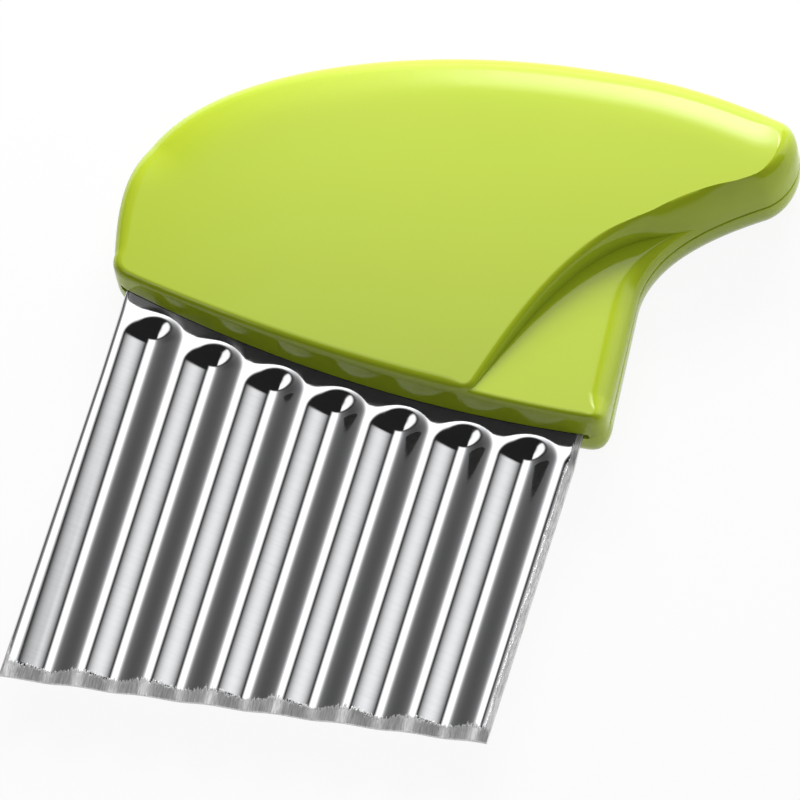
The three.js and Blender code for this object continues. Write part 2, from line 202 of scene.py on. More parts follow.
def softened(corners, leg):
    """Straight runs between corners, each corner rounded over a leg to both sides."""
    start = corners[0]
    runs = []
    for corner, after in zip(corners[1:-1], corners[2:]):
        enter = corner + (start - corner) / np.linalg.norm(start - corner) * leg
        leave = corner + (after - corner) / np.linalg.norm(after - corner) * leg
        runs += [straight(start, enter), bezier([enter, corner, leave])]
        start = leave
    if np.linalg.norm(corners[-1] - start) > 0.01:
        runs.append(straight(start, corners[-1]))
    return np.concatenate(runs)


def evenly(points, values=None):
    """Closed outline with points at an even step, and the values carried along."""
    closed = np.concatenate([points, points[:1]])
    length = np.concatenate([[0], np.cumsum(np.linalg.norm(np.diff(closed, axis=0), axis=1))])
    place = np.linspace(0, length[-1], int(length[-1] / OUTLINE_STEP), endpoint=False)
    carried = closed if values is None else np.column_stack([closed, np.concatenate([values, values[:1]])])
    even = np.stack([np.interp(place, length, column) for column in carried.T], axis=1)
    return even[:, :2], even[:, 2:]


def beside(points):
    """Directions to the left of an open line."""
    tangent = np.gradient(points, axis=0)
    tangent /= np.linalg.norm(tangent, axis=1, keepdims=True)
    return np.stack([-tangent[:, 1], tangent[:, 0]], axis=1)


def graded(points, start, end, slants=(0.0, 0.0)):
    """Stretch of an outline with its edge's inset, drop and slant, which change evenly along it."""
    count = len(points)
    insets = np.linspace(start[0], end[0], count, endpoint=False)
    drops = np.linspace(start[1], end[1], count, endpoint=False)
    return points, beside(points) * insets[:, None], drops, np.linspace(*slants, count, endpoint=False)


def rounded_outline(stretches):
    """Joins stretches to evenly spaced points, each with its edge's inset, drop and slant.

    The rounded edge reaches in from the outline by the inset and down from the face by the drop.
    The slant turns it from a quarter of an ellipse at 0 into a straight slope at 1.
    """
    points, *edges = (np.concatenate(parts) for parts in zip(*stretches))
    even, carried = evenly(points, np.column_stack(edges))
    carried = eased(carried)
    return even, carried[:, :2], carried[:, 2], carried[:, 3]


def eased(values, reach=8):
    """Running mean round the outline."""
    shifted_copies = [np.roll(values, shift, axis=0) for shift in range(-reach, reach + 1)]
    return np.mean(shifted_copies, axis=0)


def inward(points):
    tangent = np.roll(points, -1, axis=0) - np.roll(points, 1, axis=0)
    tangent /= np.linalg.norm(tangent, axis=1, keepdims=True)
    return np.stack([-tangent[:, 1], tangent[:, 0]], axis=1)


def shrunk(points, distance):
    """Outline moved inward, without the loops that form in tight corners."""
    moved = points + inward(points) * distance
    nearest = np.array([np.min(np.hypot(*(points - p).T)) for p in moved])
    return evenly(moved[nearest > distance - SHRINK_SLACK])[0]


def inside(points, polygon):
    x, y = points[:, 0], points[:, 1]
    result = np.zeros(len(points), bool)
    ax, ay = polygon[:, 0], polygon[:, 1]
    bx, by = np.roll(ax, -1), np.roll(ay, -1)
    for i in range(len(polygon)):
        if ay[i] != by[i]:
            edge_x = (bx[i] - ax[i]) * (y - ay[i]) / (by[i] - ay[i]) + ax[i]
            result ^= ((ay[i] > y) != (by[i] > y)) & (x < edge_x)
    return result


def new_piece(name, vertices, faces, material=None):
    mesh = bpy.data.meshes.new(name)
    mesh.from_pydata((np.asarray(vertices) + drawing_origin) * MM, [], faces)
    mesh.validate()
    mesh.polygons.foreach_set("use_smooth", [True] * len(mesh.polygons))
    piece = bpy.data.objects.new(name, mesh)
    bpy.context.scene.collection.objects.link(piece)
    if material:
        mesh.materials.append(material)
    return piece


def rounded_body(name, outline, top, foot, chamfer=RIM_CHAMFER):
    """Closed body on an outline: wall, rounded upper edge and a face at the height top(x, y)."""
    points, inset, drop, slant = outline
    normal = inward(points)
    drop = np.minimum(drop, top(points) - foot - 2 * chamfer)
    rings = []
    rings.append((points + normal * chamfer, np.full(len(points), foot)))
    rings.append((points, np.full(len(points), foot + chamfer)))
    for k in range(ROUND_STEPS + 1):
        share = k / ROUND_STEPS
        angle = math.pi / 2 * share
        reach = (1 - slant) * (1 - math.cos(angle)) + slant * share
        ring = points + inset * reach[:, None]
        rise = (1 - slant) * math.sin(angle) + slant * share
        rings.append((ring, top(ring) - drop * (1 - rise)))
    flat = points + inset * (1 + FACE_LAP / np.linalg.norm(inset, axis=1, keepdims=True))
    rings.append((flat, top(flat)))
    count = len(points)
    vertices = [np.column_stack([ring, height]) for ring, height in rings]
    faces = []
    step = np.arange(count)
    following = np.roll(step, -1)
    for k in range(len(rings) - 1):
        low, high = k * count, (k + 1) * count
        faces += np.stack([low + step, low + following, high + following, high + step], axis=1).tolist()
    faces.append(step[::-1].tolist())
    low = flat.min(axis=0)
    high = flat.max(axis=0)
    columns = np.arange(low[0], high[0], FACE_STEP)
    rows = np.arange(low[1], high[1], FACE_STEP)
    grid = np.stack(np.meshgrid(columns, rows), axis=-1).reshape(-1, 2)
    grid = grid[inside(grid, flat)]
    nearest = np.array([np.min(np.hypot(*(flat - p).T)) for p in grid])
    grid = grid[nearest > FACE_STEP / 2]
    cdt_points = [Vector(p) for p in np.concatenate([flat, grid])]
    found = delaunay_2d_cdt(cdt_points, [], [list(range(count))], 1, 1e-6)
    base = (len(rings) - 1) * count
    index = [base + original[0] for original in found[3]]
    vertices.append(np.column_stack([grid, top(grid)]))
    faces += [[index[i] for i in face] for face in found[2]]
    return new_piece(name, np.concatenate(vertices), faces)


def hollow(name, outline, top):
    """Body that hollows out a shell to the wall's thickness."""
    def depth(places):
        return np.maximum(top(places) - WALL, HOLLOW_LOWEST)

    points = shrunk(outline[0], WALL)
    drop = np.full(len(points), HOLLOW_EDGE)
    hollow_outline = (points, inward(points) * HOLLOW_EDGE, drop, 0 * drop)
    return rounded_body(name, hollow_outline, depth, HOLLOW_FOOT, HOLLOW_CHAMFER)


def prism(name, points, low, high):
    count = len(points)
    vertices = np.concatenate([
        np.column_stack([points, np.broadcast_to(low, count)]),
        np.column_stack([points, np.broadcast_to(high, count)]),
    ])
    step = np.arange(count)
    following = np.roll(step, -1)
    faces = np.stack([step, following, count + following, count + step], axis=1).tolist()
    faces += [step[::-1].tolist(), (count + step).tolist()]
    return new_piece(name, vertices, faces)


def round_bar(name, place, radius, low, high):
    turn = np.linspace(0, 2 * math.pi, 48, endpoint=False)
    return prism(name, place + radius * np.stack([np.cos(turn), np.sin(turn)], axis=1), low, high)


def ledge_band(name, reach, low_rise, high_rise, half):
    lower = along_ledge(-reach, reach, low_rise)
    upper = along_ledge(reach, -reach, high_rise)
    ends = [ledge_point(reach, low_rise)[None], upper, ledge_point(-reach, high_rise)[None]]
    return prism(name, np.concatenate([lower] + ends), -half, half)


def combine(piece, operation, *tools):
    """Joins the tools to the piece or cuts them from it, and removes them."""
    for tool in tools:
        modifier = piece.modifiers.new(tool.name, "BOOLEAN")
        modifier.operation = operation
        modifier.solver = "EXACT"
        modifier.object = tool
    made = bpy.data.meshes.new_from_object(piece.evaluated_get(bpy.context.evaluated_depsgraph_get()))
    piece.modifiers.clear()
    piece.data = made
    for tool in tools:
        bpy.data.objects.remove(tool)
    return piece


def finish_plastic(piece, material):
    piece.data.materials.clear()
    piece.data.materials.append(material)
    piece.data.polygons.foreach_set("use_smooth", [True] * len(piece.data.polygons))
    piece.data.set_sharp_from_angle(angle=math.radians(PLASTIC_SHARP_ANGLE))


def noise_texture(tree, coordinates, scale, detail=3.0, roughness=0.5):
    noise = tree.nodes.new("ShaderNodeTexNoise")
    noise.inputs["Scale"].default_value = scale
    noise.inputs["Detail"].default_value = detail
    noise.inputs["Roughness"].default_value = roughness
    tree.links.new(coordinates, noise.inputs["Vector"])
    return noise.outputs["Fac"]


def between(tree, value, low, high, to_low, to_high, interpolation="LINEAR"):
    node = tree.nodes.new("ShaderNodeMapRange")
    node.interpolation_type = interpolation
    for name, setting in (("From Min", low), ("From Max", high), ("To Min", to_low), ("To Max", to_high)):
        node.inputs[name].default_value = setting
    tree.links.new(value, node.inputs["Value"])
    return node.outputs["Result"]


def bump(tree, height, distance, strength=1.0, normal=None):
    node = tree.nodes.new("ShaderNodeBump")
    node.inputs["Strength"].default_value = strength
    node.inputs["Distance"].default_value = distance
    tree.links.new(height, node.inputs["Height"])
    if normal is not None:
        tree.links.new(normal, node.inputs["Normal"])
    return node.outputs["Normal"]


def colour_mix(tree, factor, first, second):
    node = tree.nodes.new("ShaderNodeMix")
    node.data_type = "RGBA"
    tree.links.new(factor, node.inputs["Factor"])
    for socket, value in ((node.inputs[6], first), (node.inputs[7], second)):
        if isinstance(value, bpy.types.NodeSocket):
            tree.links.new(value, socket)
        else:
            socket.default_value = value
    return node.outputs[2]


def gloss_plastic():
    material = bpy.data.materials.new("lime_green_gloss_plastic")
    material.use_nodes = True
    tree = material.node_tree
    shader = tree.nodes["Principled BSDF"]
    place = tree.nodes.new("ShaderNodeTexCoord").outputs["Object"]
    flow = noise_texture(tree, place, 45, 2)
    green = colour_mix(tree, flow, GREEN, GREEN_PALE)
    # Painted reflection: for reflected rays the green is swapped for a dark neutral grey, so the handle shows
    # as dark shade wherever it is seen in the steel or in itself
    painted_reflection_ray = tree.nodes.new("ShaderNodeLightPath").outputs["Is Glossy Ray"]
    tree.links.new(colour_mix(tree, painted_reflection_ray, green, GREY_PAINTED_IN_REFLECTIONS), shader.inputs["Base Color"])
    handling = noise_texture(tree, place, 260, 5, 0.6)
    tree.links.new(between(tree, handling, 0.3, 0.7, 0.06, 0.1), shader.inputs["Roughness"])
    peel = noise_texture(tree, place, 1500, 2)
    tree.links.new(bump(tree, peel, 0.000004, 0.25), shader.inputs["Normal"])
    shader.inputs["IOR"].default_value = 1.45
    return material


def fin_face(points):
    dome = (points[:, 1] - FIN_DOME_MIDDLE) ** 2 / (2 * FIN_DOME_RADIUS)
    fall = np.maximum(FIN_FALL_START - points[:, 0], 0.0) ** 2 / (2 * FIN_FALL_RADIUS)
    crown = np.concatenate([crown_right, crown_left])
    to_crown = np.array([np.min(np.hypot(*(crown - p).T)) for p in points])
    roll = np.maximum(CROWN_ROLL_WIDTH - to_crown, 0.0) ** 2 / (2 * CROWN_ROLL_RADIUS)
    return FIN_DEPTH - dome - fall - roll


def web_face(points):
    up = (points[:, 1] - EXPOSED_RIGHT) * WEB_TILT
    aside = (points[:, 0] - FIN_FOOT_X) * WEB_FALL
    return WEB_FOOT_DEPTH - up - aside


neck_foot = np.array([RIGHT_X, ledge_y(RIGHT_X) + CORNER])
neck_top = np.array([RIGHT_X - NECK_INSET, ledge_y(RIGHT_X) + NECK_RISE])
neck_heading = math.degrees(math.atan2(*(neck_top - neck_foot)[::-1]))
left_foot = np.array([LEFT_X, ledge_y(LEFT_X) + LEFT_CORNER])
right_corner = bezier([ledge_point(RIGHT_X - CORNER), ledge_point(RIGHT_X), neck_foot])
left_corner = bezier([left_foot, ledge_point(LEFT_X), ledge_point(LEFT_X + LEFT_CORNER)])
hook = sweep(neck_top, neck_heading, TIP_UNDER, HOOK_HEADING, HOOK_FULLNESS)
crown_right = sweep(TIP_TOP, TIP_TOP_HEADING, CROWN, CROWN_HEADING, CROWN_FULLNESS)
crown_left = sweep(
    CROWN, CROWN_HEADING, SHOULDER, SHOULDER_HEADING, CROWN_LEFT_FULLNESS, SHOULDER_FULLNESS
)
left_side = sweep(SHOULDER, SHOULDER_HEADING, left_foot, LEFT_FOOT_HEADING, LEFT_FULLNESS)

tip_round = sweep(TIP_UNDER, HOOK_HEADING, TIP_TOP, TIP_TOP_HEADING, TIP_FULLNESS)
join = int(np.argmax(hook[:, 0] > FIN_JOIN_X))
fin_foot = ledge_point(FIN_FOOT_X)
hook_slope = hook[join + 1] - hook[join - 1]
join_heading = math.degrees(math.atan2(hook_slope[1], hook_slope[0]))
fin_edge = sweep(fin_foot, FIN_FOOT_HEADING, FIN_BEND, FIN_BEND_HEADING, FIN_FULLNESS)
fin_turn = sweep(FIN_BEND, FIN_BEND_HEADING, hook[join], join_heading, FIN_TURN_FULLNESS)
corner_end = int(np.argmax(np.hypot(*(fin_edge - fin_foot).T) > FIN_CORNER))
fin_corner = bezier([ledge_point(FIN_FOOT_X - FIN_CORNER), fin_foot, fin_edge[corner_end]])
fin_side = np.concatenate([fin_edge[corner_end:], fin_turn, hook[join:]])
face_edge = sweep(
    fin_foot, FACE_EDGE_HEADING, FACE_EDGE_TIP, FACE_EDGE_TIP_HEADING,
    FIN_FULLNESS, FACE_EDGE_TIP_FULLNESS, FACE_EDGE_POINTS,
)
to_face_edge = np.array([min(face_edge - p, key=np.linalg.norm) for p in fin_side])
side_width = np.linalg.norm(to_face_edge, axis=1)
near_ends = np.clip(SIDE_BLEND_WIDTH - side_width, 0, 1)[:, None]
side_inset = to_face_edge * (1 - near_ends) + beside(fin_side) * SIDE_END_INSET * near_ends
side_turn = np.clip((fin_side[:, 0] - SIDE_TURN_X) / SIDE_TURN_LENGTH, 0, 1)
width_drop = np.clip(side_width, SIDE_DROP_LEAST, SIDE_DROP_MOST)
side_drop = np.maximum(width_drop, SIDE_DROP_MOST * side_turn)
fin_outline = rounded_outline([
    graded(along_ledge(LEFT_X + LEFT_CORNER, FIN_FOOT_X - FIN_CORNER), (1.0, 1.0), (2.0, 1.4)),
    graded(fin_corner, (1.6, 1.3), (1.1, 1.1)),
    (fin_side, side_inset, side_drop, STEP_SLANT * side_turn),
    graded(tip_round, (1.6, 4.4), (3.0, 2.8), (STEP_SLANT, 0.0)),
    graded(crown_right, (3.4, 2.4), (4.2, 2.4)),
    graded(crown_left, (4.2, 2.4), (3.4, 2.1)),
    graded(left_side, (3.2, 2.2), (2.2, 1.8)),
    graded(left_corner, (1.8, 1.6), (1.0, 1.0)),
])
web_start = FIN_FOOT_X - WEB_LAP
web_narrow = int(np.argmax(hook[:, 0] > WEB_NARROW_X))
web_end = int(np.argmax(hook[:, 0] > WEB_END_X))
web_lap = [
    hook[web_end],
    hook[web_end + WEB_LAP_POINTS],
    hook[web_end + WEB_LAP_POINTS] + WEB_LAP_STEP,
    np.array([WEB_LAP_X, neck_top[1]]),
    ledge_point(web_start - WEB_LAP_FOOT),
    ledge_point(web_start),
]
web_outline = rounded_outline([
    graded(along_ledge(web_start, RIGHT_X - CORNER), (1.2, 1.2), (1.2, 1.2)),
    graded(right_corner, (1.3, 1.3), (1.5, 1.6)),
    graded(straight(neck_foot, neck_top), (3.2, 3.0), (3.9, 3.0)),
    graded(hook[:web_narrow], (3.6, 3.0), (1.2, 2.2)),
    graded(hook[web_narrow:web_end], (1.2, 2.2), (0.5, 1.8)),
    graded(softened(web_lap, WEB_LAP_LEG), (0.8, 0.8), (1.2, 1.2)),
])
front_foot = PARTING_GAP / 2
front_shell = rounded_body("front_shell_plastic", fin_outline, fin_face, front_foot)
web = rounded_body("web", web_outline, web_face, front_foot)
fin_hollow = hollow("fin_hollow", fin_outline, fin_face)
web_hollow = hollow("web_hollow", web_outline, web_face)
screw_places = [
    ledge_point(-SCREW_X, SCREW_RISE),
    ledge_point(SCREW_X, SCREW_RISE),
    CROWN + CROWN_SCREW_OFFSET,
]
tang_floor = SHEET / 2 + FIT_GAP
boss_floors = [tang_floor, tang_floor, front_foot]
front_bosses = [
    round_bar("boss", place, HOLE_RADIUS + BOSS_WALL, floor, PILOT_END + BOSS_LAP)
    for place, floor in zip(screw_places, boss_floors)
]
pilots = [round_bar("pilot", place, HOLE_RADIUS, -CUT_PAST, PILOT_END) for place in screw_places]
slot = ledge_band("slot", HALF_WIDTH + SLOT_SIDE, -SLOT_PAST, SHOULDER_DEPTH + FIT_GAP, SLOT_HALF)
pocket_reach = HALF_WIDTH - TANG_INSET + FIT_GAP
pocket_end = TANG_LENGTH + FIT_GAP
pocket = ledge_band("pocket", pocket_reach, SLOT_PAST, pocket_end, tang_floor)
combine(front_shell, "UNION", web)
combine(front_shell, "DIFFERENCE", fin_hollow, web_hollow)
combine(front_shell, "UNION", *front_bosses)
combine(front_shell, "DIFFERENCE", *pilots, slot, pocket)
handle_plastic = gloss_plastic()
finish_plastic(front_shell, handle_plastic)
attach(front_shell, "root")
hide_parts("front_shell")


# Rear shell
# The other moulded half, in the same lime green plastic: a full fin outline with a flat back and
# wide rounded edges. Three counterbores in the back take the screw heads.
REAR_DEPTH = 5.0
REAR_CORNER = 3.6
SEAT_DEPTH = 1.9
REAR_BOSS_LAP = 0.4
REAR_EDGE = (2.6, 4.2)
REAR_LEDGE_EDGE = (2.2, 3.4)

rear_right_top = ledge_point(RIGHT_X, REAR_CORNER)
rear_right_corner = bezier([ledge_point(RIGHT_X - REAR_CORNER), ledge_point(RIGHT_X), rear_right_top])
corner_top = int(np.argmax(left_side[:, 1] < ledge_y(LEFT_X) + REAR_CORNER))
rear_left_corner = bezier([left_side[corner_top], ledge_point(LEFT_X), ledge_point(LEFT_X + REAR_CORNER)])
rear_outline = rounded_outline([
    graded(along_ledge(LEFT_X + REAR_CORNER, RIGHT_X - REAR_CORNER), REAR_LEDGE_EDGE, REAR_LEDGE_EDGE),
    graded(rear_right_corner, REAR_LEDGE_EDGE, (2.3, 3.8)),
    graded(straight(rear_right_top, neck_top), (2.4, 4.0), REAR_EDGE),
    *(graded(stretch, REAR_EDGE, REAR_EDGE) for stretch in (hook, tip_round, crown_right, crown_left)),
    graded(left_side[:corner_top], (2.5, 4.0), (2.2, 3.6)),
    graded(rear_left_corner, REAR_LEDGE_EDGE, REAR_LEDGE_EDGE),
])


def rear_face(points):
    return np.full(len(points), REAR_DEPTH)


rear_shell = rounded_body("rear_shell_plastic", rear_outline, rear_face, front_foot)
rear_hollow = hollow("rear_hollow", rear_outline, rear_face)
rear_bosses = [
    round_bar("boss", place, HEAD_HOLE_RADIUS + BOSS_WALL, floor, REAR_DEPTH - WALL + REAR_BOSS_LAP)
    for place, floor in zip(screw_places, boss_floors)
]
past_back = REAR_DEPTH + CUT_PAST
rear_holes = [round_bar("hole", place, HOLE_RADIUS, -CUT_PAST, past_back) for place in screw_places]
seats = [round_bar("seat", place, HEAD_HOLE_RADIUS, SEAT_DEPTH, past_back) for place in screw_places]
rear_slot = ledge_band("slot", HALF_WIDTH + SLOT_SIDE, -SLOT_PAST, SHOULDER_DEPTH + FIT_GAP, SLOT_HALF)
rear_pocket = ledge_band("pocket", pocket_reach, SLOT_PAST, pocket_end, tang_floor)
combine(rear_shell, "DIFFERENCE", rear_hollow)
combine(rear_shell, "UNION", *rear_bosses)
combine(rear_shell, "DIFFERENCE", *rear_holes, *seats, rear_slot, rear_pocket)
parting_z = drawing_origin[2] * MM
to_parting = Matrix.Translation((0, 0, parting_z))
from_parting = Matrix.Translation((0, 0, -parting_z))
turn_over = to_parting @ Matrix.Diagonal((1, 1, -1, 1)) @ from_parting
rear_shell.data.transform(turn_over)
rear_shell.data.flip_normals()
finish_plastic(rear_shell, handle_plastic)
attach(rear_shell, "root")
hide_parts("rear_shell")


# Blade
# Stamped stainless sheet with round-ended grooves pressed at an even pitch, bright from the mill,
# ground to a bevel along the cutting edge and rough-ground on its right side. Its flat tang is
# clamped between the shells.
GROOVE_PITCH = 10.0
GROOVE_SHIFT = 0.7
GROOVE_DEPTH = 1.8
GROOVE_END_GAP = -0.3
GROOVE_END_LENGTH = 4.4
GROOVE_LEAD = 1.5
LEAD_SHARE = 0.25
EDGE_DRAW = 1.0
EDGE_RAISE = 0.2
LEFT_FLARE = 0.85
RIGHT_TAPER = 0.35
FLARE_HEIGHT = 55.0
EDGE_THICKNESS = 0.42
BEVEL_WIDTH = 2.6
SIDE_GRIND = 0.9
LEFT_ROUND = 0.9
CORNER_GRIND = 1.3
CORNER_GRIND_HEIGHT = 6.5
TOP_DEPTH_SHARE = 0.94
BLADE_COLUMNS = 366
EDGE_ROWS = 14
PLAIN_ROWS = 9
END_ROWS = 62
TANG_ROWS = 4
EDGE_BAND = 3.6
END_BAND = 15.0
STEEL = (0.62, 0.625, 0.635, 1)
STEEL_GROUND = (0.95, 0.95, 0.95, 1)
STEEL_SCORED = (0.5, 0.5, 0.5, 1)
BLADE_SHARP_ANGLE = 40
TANG_STEP = 0.02
BACK_GROUND = 3.0
SKIN_MERGE = 0.0005


def calc(tree, operation, *values):
    node = tree.nodes.new("ShaderNodeMath")
    node.operation = operation
    for socket, value in zip(node.inputs, values):
        if isinstance(value, bpy.types.NodeSocket):
            tree.links.new(value, socket)
        else:
            socket.default_value = value
    return node.outputs[0]


def add_node(tree, kind, settings=None, **links):
    node = tree.nodes.new(kind)
    for name, value in (settings or {}).items():
        setattr(node, name, value)
    for name, value in links.items():
        socket = node.inputs[name.replace("_", " ")]
        if isinstance(value, bpy.types.NodeSocket):
            tree.links.new(value, socket)
        else:
            socket.default_value = value
    return node


def tree_with_inputs(name, sizes):
    """New geometry node tree with a number input for each size, a material input and a geometry output."""
    tree = bpy.data.node_groups.new(name, "GeometryNodeTree")
    for size, value in sizes.items():
        socket = tree.interface.new_socket(name=size, in_out="INPUT", socket_type="NodeSocketFloat")
        socket.default_value = value
    tree.interface.new_socket(name="Material", in_out="INPUT", socket_type="NodeSocketMaterial")
    tree.interface.new_socket(name="Geometry", in_out="OUTPUT", socket_type="NodeSocketGeometry")
    source = tree.nodes.new("NodeGroupInput")
    return tree, source.outputs


def grown(name, tree, settings):
    """Piece made by a geometry node tree, as a plain mesh."""
    piece = bpy.data.objects.new(name, bpy.data.meshes.new(name))
    bpy.context.scene.collection.objects.link(piece)
    modifier = piece.modifiers.new(name, "NODES")
    modifier.node_group = tree
    for item in tree.interface.items_tree:
        if item.in_out == "INPUT" and item.name in settings:
            modifier[item.identifier] = settings[item.name]
    made = bpy.data.meshes.new_from_object(piece.evaluated_get(bpy.context.evaluated_depsgraph_get()))
    piece.modifiers.clear()
    piece.data = made
    made.name = name
    return piece


def to_frame(tree, geometry):
    """Turns millimetres of the drawing into metres of the frame."""
    node = add_node(tree, "GeometryNodeTransform", Geometry=geometry)
    node.inputs["Translation"].default_value = drawing_origin * MM
    node.inputs["Scale"].default_value = (MM, MM, MM)
    return node.outputs[0]


def ledge_nodes(tree, size, x):
    half = calc(tree, "DIVIDE", size["Width"], 2.0)
    middle = calc(tree, "DIVIDE", calc(tree, "ADD", size["Exposed left"], size["Exposed right"]), 2.0)
    lost = calc(tree, "SUBTRACT", size["Exposed right"], size["Exposed left"])
    fall = calc(tree, "DIVIDE", lost, size["Width"])
    chord = calc(tree, "MULTIPLY_ADD", fall, x, middle)
    share = calc(tree, "POWER", calc(tree, "ABSOLUTE", calc(tree, "DIVIDE", x, half)), 2.0)
    bow = calc(tree, "MULTIPLY", size["Ledge bow"], calc(tree, "SUBTRACT", 1.0, share))
    return calc(tree, "SUBTRACT", chord, bow)


def climb(tree, share, low, high, height):
    """Height gained as share runs from low to high."""
    part = between(tree, share, low, high, 0.0, 1.0)
    return calc(tree, "MULTIPLY", part, height)


def pressed(tree, aside, past, length):
    """Share of the groove's depth at a place aside of its middle and past the start of its end."""
    beyond = calc(tree, "DIVIDE", past, length)
    squares = calc(tree, "ADD", calc(tree, "MULTIPLY", aside, aside), calc(tree, "MULTIPLY", beyond, beyond))
    reach = calc(tree, "MINIMUM", calc(tree, "SQRT", squares), 1.0)
    wave = calc(tree, "COSINE", calc(tree, "MULTIPLY", reach, math.pi))
    return calc(tree, "MULTIPLY_ADD", wave, 0.5, 0.5)


